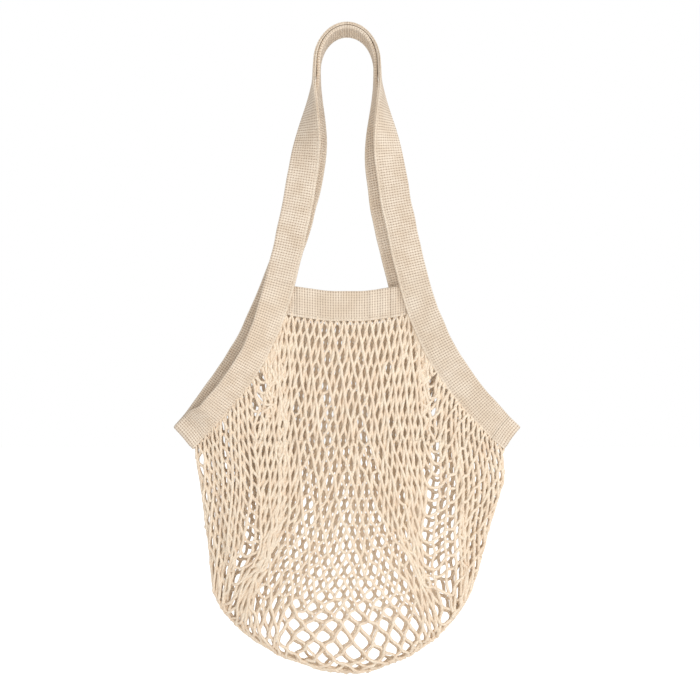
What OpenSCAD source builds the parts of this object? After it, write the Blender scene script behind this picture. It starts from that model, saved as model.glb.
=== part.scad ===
// Mesh produce bag: a knotless cotton net in a rim of folded cotton tape, with two long handles.
// +Z is up, the front faces -Y, and the origin is where the handles rest on their hook.

/* [Tape] */
// Width of the folded cotton tape
tape_w = 30; // [24:1:36]
// Thickness of the folded tape
tape_t = 3.2; // [2.4:0.2:4]
// Gap between tapes that lie on each other
tape_gap = 0.3; // [0.2:0.1:0.6]

/* [Handles] */
// Half width of the arch over the hook, at the inner tape's middle
arch_half_w = 28.5; // [24:0.5:36]
// Drop of the arch, from the hook to where the tapes hang straight
arch_drop = 34; // [28:1:42]
// Height of the handles, from the hook down to the mouth
handle_drop = 250; // [220:5:290]
// How far the outer tape stands off the inner one while they turn
twist_spread = 6; // [5:0.5:8]
// Depth at which the tapes face the front and the back
twist_end = 160; // [140:5:190]
// Distance from the middle plane to each handle where it has turned
handle_depth = 12.6; // [12:0.2:16]

/* [Mouth] */
// Half width of the mouth, at the tape's middle
mouth_half_w = 66; // [58:1:74]
// Outward lean of the tapes at the mouth, in degrees from upright
mouth_lean = 14; // [8:1:20]
// How far the mouth band sags in its middle
band_sag = 7; // [0:0.5:10]
// How far each end of the mouth band is tucked behind the side tape
band_tuck = 9; // [5:1:14]

/* [Side corners] */
// Half width of the bag at its side corners
corner_half_w = 165; // [155:1:180]
// Height of the side corners below the mouth
corner_drop = 155; // [140:1:170]
// Lean of the side tapes at the corners, in degrees from upright
corner_lean = 49; // [40:1:55]
// Straight run of tape on each side of the corner's fold
corner_leg = 12; // [8:1:18]
// Distance from the middle plane to the tape at the corners
corner_depth = 4; // [3.6:0.1:6]

/* [Net] */
// Thickness of the net, which is one two-ply string
net_t = 2.2; // [1.6:0.2:3]
// Half depth of the net at the height of the side corners
rim_depth = 9; // [7.5:0.5:14]
// Largest half depth of the net
belly_depth = 22; // [14:1:26]
// Half width of the net where its bottom starts to round
belly_half_w = 132; // [120:1:145]
// Height of the net below the corners where its bottom starts to round
belly_drop = 140; // [120:5:160]
// Height of the rounded bottom
bottom_h = 97; // [80:1:115]
// Roundness of the bottom: 2 is an ellipse, and less is more pointed
bottom_round = 1.75; // [1.5:0.05:2.2]
// Share of each mesh's diamond that is open
mesh_open = 0.5; // [0.3:0.05:0.7]

/* [Stitching] */
// Width of a row of sewing thread
thread_w = 0.8; // [0.5:0.1:1.2]
// Height of the thread above the tape
thread_t = 0.5; // [0.3:0.1:0.6]
// Distance of each sewn row from the tape's open edge
thread_inset = 3; // [2:0.5:5]
// Gap between the thread and the tape
thread_gap = 0.05; // [0.02:0.01:0.1]

/* [Hidden] */

tape_colour = "antiquewhite";
net_colour = "wheat";
thread_colour = "ivory";

FRONT = -1;
BACK = 1;
seam_gap = 0.1;         // between parts of one tape that are sewn end to end
band_part = 0.22;       // share of the side tape that lies over the mouth band's end
fit_gap = 0.3;          // between the net and the tape that holds it
round_steps = 10;       // sections along each quarter arch
strap_steps = 26;       // sections along a handle's long side
side_steps = 16;        // sections along a side tape
band_steps = 22;        // sections along a mouth band
net_columns = 22;       // even, as are the rows, so that a crossing lies at each corner of the net
net_rows = 8;
side_rows = 10;
bottom_rows = 8;

// The side tape's line, seen from the front. Its three stretches are the arch (0 to 1),
// the handle's side down to the mouth (1 to 2), and the side tape down to the corner (2 to 3).
mouth_z = -handle_drop;
corner_z = mouth_z - corner_drop;
mouth_dir = [sin(mouth_lean), -cos(mouth_lean)];
corner_dir = [sin(corner_lean), -cos(corner_lean)];
corner_end = [corner_half_w, corner_z] - corner_leg * corner_dir;
nest = tape_t + tape_gap;

function nest_of(face) = face == FRONT ? nest : 0;
function smooth(t) = let (k = min(1, max(0, t))) k * k * (3 - 2 * k);
function mix(a, b, t) = a + (b - a) * t;
function bezier(a, b, c, d, t) =
    a * pow(1 - t, 3) + b * 3 * t * pow(1 - t, 2) + c * 3 * t * t * (1 - t) + d * pow(t, 3);
function unit(v) = v / norm(v);

function arch_line(face, t) = let (up = nest_of(face), a = 90 * t) [
    (arch_half_w + up) * sin(a),
    -arch_drop + (arch_drop + tape_t / 2 + up) * cos(a)
];
function handle_line(face, t) = let (
        top = arch_line(face, 1), reach = handle_drop / 3, spread = face == FRONT ? twist_spread : 0
    ) bezier(top, top + [spread, -reach], [mouth_half_w, mouth_z] - reach * mouth_dir,
           [mouth_half_w, mouth_z], t);
function side_line(t) = let (reach = corner_drop / 2.6)
    bezier([mouth_half_w, mouth_z], [mouth_half_w, mouth_z] + reach * mouth_dir,
           corner_end - reach * corner_dir, corner_end, t);
function line_at(face, s) =
    s < 1 ? arch_line(face, s) : s < 2 ? handle_line(face, s - 1) : side_line(s - 2);

function heading(face, s) = unit(line_at(face, min(3, s + 0.01)) - line_at(face, max(0, s - 0.01)));
function outward(face, s) = let (d = heading(face, s)) [-d[1], d[0]];

// The tape turns from lying flat on the hook to facing the front or the back.
function turn(z) = 90 * (1 - smooth((-z - arch_drop) / (twist_end - arch_drop)));
function depth_at(s, z) =
    s < 2 ? handle_depth * smooth((-z - 4) / (arch_drop * 1.75))
          : mix(handle_depth, corner_depth, smooth((s - 2 - band_part) / (1 - band_part)));

// A point of the tape: across from its middle towards its outer edge, and out of its outer face.
function tape_point(face, s, across, out) = let (
        p = line_at(face, s), o = outward(face, s), a = s < 2 ? turn(p[1]) : 0,
        along_o = across * cos(a) + out * sin(a),
        along_y = -across * sin(a) + out * cos(a)
    ) [p[0] + along_o * o[0], face * (depth_at(s, p[1]) + along_y), p[1] + along_o * o[1]];

// A tape's section, with its edges rounded over and a narrow strip under its sewn row.
function tape_section(w, t) = let (x = w / 2, y = t / 2, r = t * 0.3, row = x - thread_inset) [
    [x, -y + r], [x, y - r], [x - r, y], [x / 2, y], [0, y], [-x / 2, y],
    [-row + thread_w, y], [-row - thread_w, y],
    [-x, y - r], [-x, -y + r], [-x + r, -y], [-x / 2, -y], [0, -y], [x / 2, -y], [x - r, -y]
];

// Closes a stack of rings into one solid.
module skin(rings) {
    n = len(rings[0]);
    m = len(rings);
    points = [for (ring = rings) each ring];
    sides = [for (i = [0 : m - 2], j = [0 : n - 1]) let (k = (j + 1) % n)
        each [[i * n + j, (i + 1) * n + j, (i + 1) * n + k], [i * n + j, (i + 1) * n + k, i * n + k]]];
    ends = [[for (j = [0 : n - 1]) j], [for (j = [n - 1 : -1 : 0]) (m - 1) * n + j]];
    polyhedron(points, concat(sides, ends), convexity = 6);
}

function in_order(face, ring) = face == FRONT ? ring : [for (i = [len(ring) - 1 : -1 : 0]) ring[i]];

// A run of tape or thread along the line on the right side, from one place on it to another.
module run(face, from, to, steps, section, across = 0, out = 0) {
    skin([for (i = [0 : steps]) let (s = mix(from, to, i / steps))
        in_order(face, [for (q = section) tape_point(face, s, q[0] + across, q[1] + out)])]);
}

thread_section = [[thread_w / 2, 0], [thread_w / 2, thread_t], [-thread_w / 2, thread_t], [-thread_w / 2, 0]];
inner_row = -(tape_w / 2 - thread_inset);
on_tape = tape_t / 2 + thread_gap;
first_s = asin(seam_gap / arch_half_w) / 90;

function handle_stops() = concat(
    [for (i = [0 : round_steps - 1]) mix(first_s, 1, i / round_steps)],
    [for (i = [0 : strap_steps]) mix(1, 2 - mouth_cut, i / strap_steps)]
);
mouth_cut = 0.0006;     // keeps the handle's end clear of the side tape's

// The inner handle's sewn row is left out where the outer handle lies on it.
module along_handle(face, section, across = 0, out = 0, from = 0) {
    skin([for (s = handle_stops()) if (s >= from)
        in_order(face, [for (q = section) tape_point(face, s, q[0] + across, q[1] + out)])]);
}

module handle_right(face) {
    color(tape_colour) along_handle(face, tape_section(tape_w, tape_t));
}

module handle_left(face) {
    mirror([1, 0, 0]) handle_right(face);
}

module handle_stitching(face) {
    color(thread_colour)
        for (side = [0, 1])
            mirror([side, 0, 0])
                along_handle(face, thread_section, inner_row, on_tape, face == FRONT ? 0 : 1.4);
}

// Rows sewn across the two tape ends where they meet over the hook.
join_rows = [for (k = [-3, -2, 2, 3]) k * tape_w / 10];
join_gap = 0.15;
join_l = tape_w - 2 * thread_inset - 2 * thread_w;
module handle_join(face) {
    under = face == FRONT ? 1 : -1;
    color(thread_colour)
        for (x = join_rows) {
            s = asin(abs(x) / (arch_half_w + nest_of(face))) / 90;
            p = tape_point(face, s, 0, under * (tape_t / 2 + join_gap + thread_t / 2));
            o = outward(face, s);
            translate([sign(x) * p[0], 0, p[2]])
                rotate([0, -sign(x) * (atan2(o[1], o[0]) - 90), 0])
                    cube([thread_w, join_l, thread_t], center = true);
        }
}

// The mouth band runs between the side tapes, its ends tucked behind them.
band_depth = handle_depth - tape_t - tape_gap;
band_half_w = mouth_half_w - tape_w / 2 + band_tuck;
band_top = mouth_z - tape_w / 2 * sin(mouth_lean) - tape_gap;
function band_sag_at(x) = band_sag * (1 - pow(x / band_half_w, 2));
function band_point(face, x, across, out) =
    [x, face * (band_depth + out), band_top - tape_w / 2 - band_sag_at(x) + across];

module along_band(face, half_w, section, across = 0, out = 0) {
    steps = band_steps;
    skin([for (i = [0 : steps]) let (x = mix(-half_w, half_w, i / steps))
        in_order(face, [for (q = section) band_point(face, x, q[0] + across, q[1] + out)])]);
}

module mouth_band(face) {
    color(tape_colour) along_band(face, band_half_w, tape_section(tape_w, tape_t));
}

band_seen = mouth_half_w - tape_w / 2 - fit_gap;
module band_stitching(face) {
    color(thread_colour) along_band(face, band_seen - 1, thread_section, inner_row, on_tape);
}

// Short bars of stitches that hold the band's ends to the side tapes, one near each of its edges.
side_length = norm(corner_end - [mouth_half_w, mouth_z]) * 1.02;
tack_l = tape_w * 0.4;
tack_places = [tape_w * 0.3, tape_w * 0.9];
module band_tacks(face) {
    half = thread_w / 2 / side_length;
    color(thread_colour)
        for (side = [0, 1], place = tack_places)
            let (s = 2 + place / side_length)
                mirror([side, 0, 0])
                    skin([for (a = [inner_row + thread_inset, inner_row + thread_inset + tack_l])
                        in_order(face, [
                            tape_point(face, s - half, a, on_tape),
                            tape_point(face, s - half, a, on_tape + thread_t),
                            tape_point(face, s + half, a, on_tape + thread_t),
                            tape_point(face, s + half, a, on_tape)
                        ])]);
}

module binding_right(face) {
    color(tape_colour) run(face, 2 + mouth_cut, 3, side_steps, tape_section(tape_w, tape_t));
}

module binding_left(face) {
    mirror([1, 0, 0]) binding_right(face);
}

module binding_stitching(face) {
    color(thread_colour)
        for (side = [0, 1])
            mirror([side, 0, 0])
                run(face, 2 + mouth_cut, 3, side_steps, thread_section, inner_row, on_tape);
}

// The tape's fold round the bag's side corner, from the front to the back.
module corner_fold_right() {
    outer_r = corner_depth + tape_t / 2;
    inner_r = corner_depth - tape_t / 2;
    leg = corner_leg - seam_gap;
    color(tape_colour)
        translate([corner_half_w, 0, corner_z])
            rotate([0, 90 - corner_lean, 0])
                translate([0, 0, -tape_w / 2])
                    linear_extrude(tape_w)
                        difference() {
                            union() {
                                circle(r = outer_r, $fn = 48);
                                translate([-leg, -outer_r]) square([leg, 2 * outer_r]);
                            }
                            circle(r = inner_r, $fn = 48);
                            translate([-leg - 1, -inner_r]) square([leg + 1, 2 * inner_r]);
                        }
}

module corner_fold_left() {
    mirror([1, 0, 0]) corner_fold_right();
}

// The net opens at the height where the side tapes meet the corner folds.
hinge_z = corner_end[1] - tape_w / 2 * sin(corner_lean) - fit_gap;

// Closes an outer and an inner grid of points into one thin sheet of mesh. Crossings lie at every
// other point, and each diamond between four of them has an opening, except near the side edges
// and in the lowest rows, where the meshes lie closed.
module mesh_sheet(outer, inner, closed_columns, closed_rows) {
    m = len(outer);
    n = len(outer[0]);
    count = m * n;
    cells = [for (i = [1 : m - 2], j = [1 : n - 2]) if ((i + j) % 2 == 1) [i, j]];
    open = [for (c = cells) if (is_open(c, m, n, closed_columns, closed_rows)) c];
    shut = [for (c = cells) if (!is_open(c, m, n, closed_columns, closed_rows)) c];
    holes = len(open) * 4;
    points = concat([for (row = outer) each row], [for (row = inner) each row],
                    opening_corners(outer, open), opening_corners(inner, open));
    bars = [for (k = [0 : len(open) - 1], e = [0 : 3])
        let (r = round_cell(open[k]), a = at(r[e], n), b = at(r[(e + 1) % 4], n),
             c = 2 * count + 4 * k + (e + 1) % 4, d = 2 * count + 4 * k + e)
        each [[a, b, c], [a, c, d], [d + holes, c + holes, b + count], [d + holes, b + count, a + count],
              [d, c, c + holes], [d, c + holes, d + holes]]];
    filled = [for (c = shut, e = [0 : 3])
        let (r = round_cell(c), a = at(r[e], n), b = at(r[(e + 1) % 4], n))
        each two_sided([a, b, at(c, n)], count)];
    top = [for (j = [1 : 2 : n - 2]) each concat(two_sided([j - 1, j, n + j], count),
                                                 two_sided([j, j + 1, n + j], count))];
    low = [for (j = [1 : 2 : n - 2]) let (a = count - n + j)
        each concat(two_sided([a - n, a + 1, a], count), two_sided([a - n, a, a - 1], count))];
    left = [for (i = [1 : 2 : m - 2]) let (a = i * n)
        each concat(two_sided([a - n, a + 1, a], count), two_sided([a, a + 1, a + n], count))];
    right = [for (i = [1 : 2 : m - 2]) let (a = i * n + n - 1)
        each concat(two_sided([a - n, a, a - 1], count), two_sided([a, a + n, a - 1], count))];
    side_edges = [for (i = [0 : m - 2]) let (a = i * n, b = i * n + n - 1)
        each [[a, a + n, a + n + count], [a, a + n + count, a + count],
              [b, b + count, b + n + count], [b, b + n + count, b + n]]];
    end_edges = [for (j = [0 : n - 2]) let (a = j, b = (m - 1) * n + j)
        each [[a, a + count, a + 1 + count], [a, a + 1 + count, a + 1],
              [b, b + 1, b + 1 + count], [b, b + 1 + count, b + count]]];
    polyhedron(points, concat(bars, filled, top, low, left, right, side_edges, end_edges), convexity = 12);
}

function at(q, n) = q[0] * n + q[1];
function round_cell(c) = [c - [1, 0], c + [0, 1], c + [1, 0], c - [0, 1]];
function is_open(c, m, n, closed_columns, closed_rows) =
    c[1] >= closed_columns && c[1] <= n - 1 - closed_columns && c[0] <= m - 1 - closed_rows;
function opening_corners(grid, cells) =
    [for (c = cells, q = round_cell(c)) mix(grid[c[0]][c[1]], grid[q[0]][q[1]], mesh_open)];
function two_sided(f, count) = [f, [f[2] + count, f[1] + count, f[0] + count]];

// Where the side tape's inner edge stands at a place on its line.
edge_across = -(tape_w / 2 + fit_gap);
net_top = band_top - tape_w - fit_gap;
function edge_s(z, low = 2, high = 3, tries = 18) = tries == 0 ? (low + high) / 2 :
    let (mid = (low + high) / 2)
    tape_point(FRONT, mid, edge_across, 0)[2] > z ? edge_s(z, mid, high, tries - 1)
                                                  : edge_s(z, low, mid, tries - 1);
function upper_depth(t, u, s) =
    mix(depth_at(s, 0), mix(band_depth, rim_depth - net_t / 2, smooth(t)), 1 - pow(abs(u), 4));

// Upper net, from the mouth band down to the height of the corners, between the side tapes.
function upper_row(t, out) = let (
        z = mix(net_top, hinge_z + fit_gap / 2, t), s = edge_s(z),
        edge = tape_point(FRONT, s, edge_across, 0)[0]
    ) [for (j = [0 : net_columns]) let (u = 2 * j / net_columns - 1)
        [u * edge, -upper_depth(t, u, s) - out,
         z - (1 - t) * band_sag_at(min(band_half_w, abs(u * edge)))]];

module net_upper_front() {
    color(net_colour)
        mesh_sheet([for (i = [0 : net_rows]) upper_row(i / net_rows, net_t / 2)],
                   [for (i = [0 : net_rows]) upper_row(i / net_rows, -net_t / 2)], 1, 1);
}

// Lower net, from the height of the corners to the bottom. Its side edges lie on the middle plane.
belly_z = corner_z - belly_drop;
fold_z = corner_z - tape_w / 2 * sin(corner_lean) - corner_depth;
side_taper = (corner_half_w - tape_w / 2 * cos(corner_lean) - belly_half_w) / (fold_z - belly_z);
hinge_half_w = tape_point(FRONT, 3, edge_across, 0)[0] - fit_gap;
hinge_edge_depth = corner_depth;
lower_top = hinge_z - fit_gap / 2;
bottom_z = belly_z - bottom_h;

function round_off(t) = pow(max(0, 1 - pow(t, bottom_round)), 1 / bottom_round);
function straight_half_w(z) = belly_half_w + side_taper * (z - belly_z);
function narrowing(t) = round_off(t) * straight_half_w(belly_z - bottom_h * t) / belly_half_w;
function lower_half_w(z) =
    z > fold_z ? mix(hinge_half_w, straight_half_w(fold_z), (lower_top - z) / (lower_top - fold_z))
               : straight_half_w(z);
function lower_depth(z) = let (k = (lower_top - z) / (lower_top - belly_z))
    mix(rim_depth, belly_depth, smooth(k));
function open_edge(z) = hinge_edge_depth * (1 - smooth((lower_top - z) / (lower_top - fold_z)));

function lower_row(z, shrink, drop, cut) = let (
        w = lower_half_w(z) * shrink, e = open_edge(z), d = lower_depth(z) * pow(shrink, 0.8),
        side_cut = cut * (1 - e / hinge_edge_depth), edge_y = max(0, e + net_t / 2 * sign(e) - cut)
    ) [for (j = [0 : net_columns]) let (a = 180 * j / net_columns)
        [-(w - side_cut) * cos(a), -(edge_y + (max(d - cut, 0.2) - edge_y) * sin(a)), z - drop]];

last_row = 0.9995;       // leaves the last row a little short of a point
function lower_grid(cut) = concat(
    [for (i = [0 : side_rows - 1]) lower_row(mix(lower_top, belly_z, i / side_rows), 1, 0, cut)],
    [for (i = [0 : bottom_rows]) let (t = last_row * sin(90 * i / bottom_rows), k = narrowing(t))
        lower_row(belly_z, k, (bottom_h - cut) * t, cut * k)]
);

module net_lower_front() {
    color(net_colour) mesh_sheet(lower_grid(0), lower_grid(net_t), 3, 3);
}

module to_back() {
    mirror([0, 1, 0]) children();
}

handle_left(FRONT);  // front_handle_left
handle_right(FRONT);  // front_handle_right
handle_join(FRONT);  // front_handle_join
handle_stitching(FRONT);  // front_handle_stitching
handle_left(BACK);  // back_handle_left
handle_right(BACK);  // back_handle_right
handle_join(BACK);  // back_handle_join
handle_stitching(BACK);  // back_handle_stitching
mouth_band(FRONT);  // front_mouth_band
band_stitching(FRONT);  // front_band_stitching
band_tacks(FRONT);  // front_band_tacks
binding_left(FRONT);  // front_left_binding
binding_right(FRONT);  // front_right_binding
binding_stitching(FRONT);  // front_binding_stitching
net_upper_front();  // front_net_upper
mouth_band(BACK);  // back_mouth_band
band_stitching(BACK);  // back_band_stitching
band_tacks(BACK);  // back_band_tacks
binding_left(BACK);  // back_left_binding
binding_right(BACK);  // back_right_binding
binding_stitching(BACK);  // back_binding_stitching
to_back() net_upper_front();  // back_net_upper
corner_fold_left();  // left_corner_fold
corner_fold_right();  // right_corner_fold
net_lower_front();  // front_net_lower
to_back() net_lower_front();  // back_net_lower
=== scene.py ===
"""Mesh produce bag: a knotless cotton net in a rim of folded cotton tape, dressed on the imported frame.

Metres, +Z up, the front faces -Y, and the origin is where the handles rest on their hook. A pair such as
ROLL_FROM gives a smooth step's start and its reach, and a pair such as TIP_AT a hill's middle and its reach.
"""
from functools import partial
from math import cos, pi, radians, sin

import bpy
import numpy as np
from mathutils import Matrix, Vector

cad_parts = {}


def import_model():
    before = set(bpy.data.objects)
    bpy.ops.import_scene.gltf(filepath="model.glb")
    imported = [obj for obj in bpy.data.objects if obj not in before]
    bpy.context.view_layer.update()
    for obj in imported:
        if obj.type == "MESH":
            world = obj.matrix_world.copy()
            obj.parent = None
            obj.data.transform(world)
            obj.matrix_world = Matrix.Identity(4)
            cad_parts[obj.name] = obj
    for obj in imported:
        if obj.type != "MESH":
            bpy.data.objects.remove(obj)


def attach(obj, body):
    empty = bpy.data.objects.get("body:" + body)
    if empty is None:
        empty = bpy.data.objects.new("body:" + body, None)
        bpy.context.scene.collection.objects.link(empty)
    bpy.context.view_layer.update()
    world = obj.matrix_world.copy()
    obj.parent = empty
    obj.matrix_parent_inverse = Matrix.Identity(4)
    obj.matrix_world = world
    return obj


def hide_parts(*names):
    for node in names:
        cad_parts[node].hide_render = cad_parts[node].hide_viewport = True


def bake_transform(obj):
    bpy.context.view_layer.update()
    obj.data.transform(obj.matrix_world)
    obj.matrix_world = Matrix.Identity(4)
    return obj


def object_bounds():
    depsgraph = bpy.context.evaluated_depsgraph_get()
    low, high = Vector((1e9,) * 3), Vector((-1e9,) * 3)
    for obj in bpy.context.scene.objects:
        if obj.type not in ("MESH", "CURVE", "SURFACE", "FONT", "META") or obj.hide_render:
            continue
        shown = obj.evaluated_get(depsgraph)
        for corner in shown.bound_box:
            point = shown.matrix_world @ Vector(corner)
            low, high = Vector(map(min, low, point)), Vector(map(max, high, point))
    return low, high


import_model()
CAD_BOX = [list(corner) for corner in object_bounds()]
SCENE = bpy.context.scene

FRONT, BACK = -1, 1
LEFT, RIGHT = -1, 1
FACE_NAME = {FRONT: "front", BACK: "back"}
SIDE_NAME = {LEFT: "left", RIGHT: "right"}


def smooth(t):
    t = np.clip(t, 0, 1)
    return t * t * (3 - 2 * t)


def beyond(value, start, reach):
    """A smooth step from 0 at start to 1 at reach above it."""
    return smooth((value - start) / reach)


def below(value, start, reach):
    """A smooth step from 0 at start to 1 at reach below it."""
    return smooth((start - value) / reach)


def hill(value, middle, reach):
    """1 at its middle and 0 beyond its reach."""
    return smooth(1 - np.abs((value - middle) / reach))


def bezier(a, b, c, d, t):
    t = np.asarray(t, float)[..., None]
    return a * (1 - t) ** 3 + 3 * b * t * (1 - t) ** 2 + 3 * c * t * t * (1 - t) + d * t ** 3


def unit(v):
    return v / np.maximum(np.linalg.norm(v, axis=-1, keepdims=True), 1e-12)


def lengths_of(line):
    """Length of a line up to each of its points."""
    return np.r_[0, np.cumsum(np.linalg.norm(np.diff(line, axis=0), axis=1))]


def leaning(degrees):
    """Direction in the XZ plane that runs down, leaning outward from upright."""
    return np.array([sin(radians(degrees)), -cos(radians(degrees))])


# ---- sizes shared with the part ----
TAPE_W, TAPE_T, TAPE_GAP = 0.030, 0.0032, 0.0003
ARCH_HALF_W, ARCH_DROP = 0.0285, 0.034
HANDLE_DROP, TWIST_SPREAD, TWIST_END, HANDLE_DEPTH = 0.250, 0.006, 0.160, 0.0126
MOUTH_HALF_W, MOUTH_LEAN, BAND_SAG, BAND_TUCK = 0.066, 14, 0.007, 0.009
CORNER_HALF_W, CORNER_DROP, CORNER_LEAN, CORNER_LEG, CORNER_DEPTH = 0.165, 0.155, 49, 0.012, 0.004
RIM_DEPTH, BELLY_DEPTH = 0.009, 0.022
BELLY_HALF_W, BELLY_DROP, BOTTOM_H, BOTTOM_ROUND = 0.132, 0.140, 0.097, 1.75
SEWN_INSET = 0.003
BAND_PART = 0.22  # share of the side tape's line that lies beside the band
FIT_GAP = 0.0003
HANDLE_REACH, SIDE_REACH = HANDLE_DROP / 3, CORNER_DROP / 2.6  # pull of the tape's curves at their ends
PARTING = (-0.004, ARCH_DROP * 1.75)  # heights over which the two handles part

MOUTH_Z = -HANDLE_DROP
CORNER_Z = MOUTH_Z - CORNER_DROP
MOUTH_DIR, CORNER_DIR = leaning(MOUTH_LEAN), leaning(CORNER_LEAN)
MOUTH_PLACE = np.array([MOUTH_HALF_W, MOUTH_Z])
CORNER_END = np.array([CORNER_HALF_W, CORNER_Z]) - CORNER_LEG * CORNER_DIR
NEST = TAPE_T + TAPE_GAP
BAND_DEPTH = HANDLE_DEPTH - NEST
BAND_HALF_W = MOUTH_HALF_W - TAPE_W / 2 + BAND_TUCK
BAND_TOP = MOUTH_Z - TAPE_W / 2 * MOUTH_DIR[0] - TAPE_GAP
NET_TOP = BAND_TOP - TAPE_W - FIT_GAP
HINGE_Z = CORNER_END[1] - TAPE_W / 2 * CORNER_DIR[0] - FIT_GAP
FOLD_Z = CORNER_Z - TAPE_W / 2 * CORNER_DIR[0] - CORNER_DEPTH
BELLY_Z = CORNER_Z - BELLY_DROP
BOTTOM_Z = BELLY_Z - BOTTOM_H
SIDE_TAPER = (CORNER_HALF_W - TAPE_W / 2 * cos(radians(CORNER_LEAN)) - BELLY_HALF_W) / (FOLD_Z - BELLY_Z)

# Heights between which cloth runs across the joints
RIM_BEND = (CORNER_END[1] + 0.013, -0.315)
HANDLE_BEND = (MOUTH_Z + 0.0042, MOUTH_Z + 0.050)

# The camera's place
VIEW_DISTANCE, VIEW_WIDTH = 0.92, 0.7055
VIEW_CENTRE = (0.003, -0.3194)

# ---- materials ----
WEAVE = 0.0026  # pitch of the tape's basket weave
TAPE_GIRTH = 2 * TAPE_W + (pi / 2 - 1) * TAPE_T  # round the tape from one open edge to the other
HEM_WEAVE = 0.25  # share of the weave that shows on the hem
TAPE_START = {FRONT: 0.0, None: 400 * WEAVE, BACK: 800 * WEAVE}  # each handle's uv along it starts here
ON_HOOK = (0.105, -0.030)  # length of each handle's tapes that is pressed flat on the hook
# Light and mid tones of the tape; the mid tone is also the painted shade of the weave's low places and of the
# thread's ply grooves
TAPE_LIGHT, TAPE_MID_AND_SHADE = (0.84, 0.735, 0.605, 1), (0.745, 0.625, 0.490, 1)
# A painted shade colour for the weave's holes, grooves and lines and its sewn line, and a lighter worn colour
TAPE_SHADE, TAPE_WORN = (0.34, 0.220, 0.145, 1), (0.90, 0.83, 0.74, 1)
# Shares of painted shade in the weave's grooves, lines and holes and along its sewn line, and the share of wear
GROOVE_SHADE, LINE_SHADE, HOLE_SHADE, SEAM_SHADE, WORN = 0.44, 0.20, 0.80, 0.45, 0.12
# The net's light and mid tones, and a painted shade colour for the grooves between its plies
NET_LIGHT, NET_MID, NET_PLY_SHADE = (0.91, 0.800, 0.650, 1), (0.85, 0.703, 0.545, 1), (0.68, 0.480, 0.345, 1)
NET_PLY = 0.0042  # length in which a ply of the string winds half round it
THREAD, THREAD_PLY = (0.86, 0.765, 0.630, 1), 0.0009

# How the materials use them: pairs are the two ends of a ramp, or the scale and detail of noise
# The ramps for grooves, lines and holes mask painted shade in the weave's recesses between the yarns
PILLOW, GROOVE_SHADE_RAMP, LINE_SHADE_RAMP, HOLE_RIB, HOLE_SHADE_RAMP = 0.45, (0.42, 0.05), (0.40, 0.05), 1.15, (1.25, 0.35)
# The seam ramp masks painted shade along the sewn line, and the hook fade takes away part of the weave's painted
# shade where the tape is pressed on the hook
HEM_SOFT, SEAM_SHADE_RAMP, HOOK_FADE = 0.0006, (0.0007, 0.0001), 0.5
TAPE_FIBRE, TAPE_PATCH, TAPE_WEAR = (1500.0, 3.0), (60.0, 3.0), (22.0, 2.0)
# The sunk share paints shade on the weave's low places
PILLOW_HIGH, YARN_HIGH, TAPE_FUZZ, PATCH_RAMP, WEAR_RAMP, SUNK_SHADE = 0.65, 0.20, 0.25, (0.3, 0.7), (0.45, 0.75), 0.55
NET_FIBRE, NET_PATCH, NET_PATCH_RAMP = (1300.0, 3.0), (90.0, 3.0), (0.3, 0.72)
# The net's ply ramp paints shade in the grooves between its plies
PLY_HIGH, NET_FUZZ, EACH_DARK, PLY_SHADE_RAMP = 0.6, 0.35, 0.18, (0.35, 0.0, 0.0, 0.55)
# The thread's ply ramp paints shade, in the tape's mid tone, in the grooves between its plies
THREAD_FIBRE, THREAD_FUZZ, THREAD_PLY_SHADE = (2500.0, 2.0), 0.3, (0.4, 0.0, 0.0, 0.4)


class Nodes:
    """Short ways of adding nodes to a material or the world."""

    def __init__(self, owner):
        self.owner = owner
        owner.use_nodes = True
        self.tree = owner.node_tree
        self.tree.nodes.clear()

    def add(self, kind, values=(), **settings):
        node = self.tree.nodes.new("ShaderNode" + kind)
        for key, value in settings.items():
            setattr(node, key, value)
        for socket, value in dict(values).items():
            if isinstance(value, bpy.types.NodeSocket):
                self.tree.links.new(value, node.inputs[socket])
            else:
                node.inputs[socket].default_value = value
        return node

    def math(self, operation, a, b=0.0):
        return self.add("Math", {0: a, 1: b}, operation=operation).outputs[0]

    def plus(self, a, b):
        return self.math("ADD", a, b)

    def minus(self, a, b):
        return self.math("SUBTRACT", a, b)

    def times(self, a, b):
        return self.math("MULTIPLY", a, b)

    def ridges(self, value, number=1):
        """Rounded ridges from 0 to 1 and back, a number of them for each 1 of the value."""
        return self.math("ABSOLUTE", self.math("SINE", self.times(value, number * pi)))

    def ramp(self, value, low, high, start=0.0, end=1.0):
        values = {"Value": value, "From Min": low, "From Max": high, "To Min": start, "To Max": end}
        return self.add("MapRange", values, interpolation_type="SMOOTHSTEP").outputs[0]

    def mix(self, share, a, b):
        return self.add("Mix", {"Factor": share, 6: a, 7: b}, data_type="RGBA").outputs[2]

    def noise(self, scale, detail):
        """Noise fixed to the object."""
        place = self.add("TexCoord").outputs["Object"]
        return self.add("TexNoise", {"Scale": scale, "Detail": detail, "Vector": place}).outputs[0]

    def measure(self):
        """The uv's two parts: round the piece and along it."""
        uv = self.add("UVMap").outputs[0]
        return self.add("SeparateXYZ", {0: uv}).outputs[:2]

    def plies(self, girth, along, pitch):
        """Two plies that wind round a string."""
        return self.ridges(self.minus(self.times(girth, 2.0), self.math("DIVIDE", along, pitch)))

    def cloth(self, colour, height, distance, roughness, sheen):
        """Ends the material as cloth."""
        bump = self.add("Bump", {"Height": height, "Strength": 1.0, "Distance": distance})
        shader = self.add("BsdfPrincipled", {
            "Base Color": colour, "Roughness": roughness, "Normal": bump.outputs[0],
            "Sheen Weight": sheen, "Sheen Roughness": 0.45, "Specular IOR Level": 0.22})
        self.add("OutputMaterial", {0: shader.outputs[0]})
        return self.owner


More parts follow.
